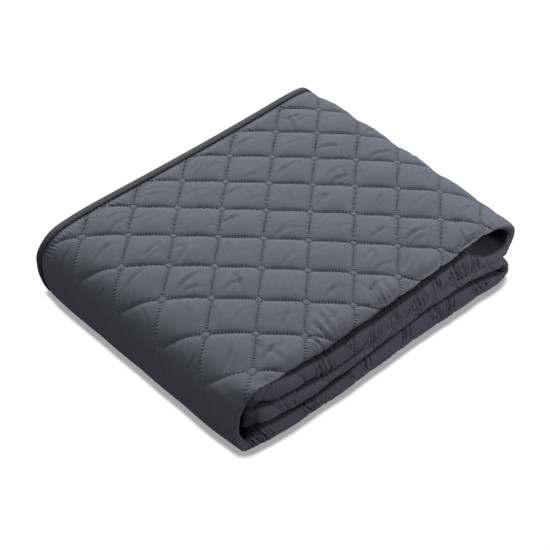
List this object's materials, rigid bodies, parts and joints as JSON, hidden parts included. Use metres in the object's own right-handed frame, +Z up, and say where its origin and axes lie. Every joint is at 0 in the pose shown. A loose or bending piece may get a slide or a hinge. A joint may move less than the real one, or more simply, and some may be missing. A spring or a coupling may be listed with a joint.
{
  "type": "folded quilted electric blanket",
  "caption": "Diamond-quilted fabric electric blanket, folded into a thick soft pad with rounded folds at the front and sides and a narrow bound edge at the rear.",
  "frame": {"origin": "middle of the folded blanket's footprint, on the surface it lies on", "axes": "+X along the front folds, towards the two rounded side folds; +Y from the front folds to the bound rear edge; +Z up"},
  "size_m": [0.4452, 0.3676, 0.0949],
  "materials": {
    "cloth": "matt brushed microfibre, quilted in diamonds",
    "binding": "smooth matt woven tape"
  },
  "bodies": {
    "root": {"quilted_cloth": "cloth", "binding_outer_side": "binding", "binding_inner_side": "binding", "binding_end_upper": "binding", "binding_end_lower": "binding"}
  },
  "joints": []
}
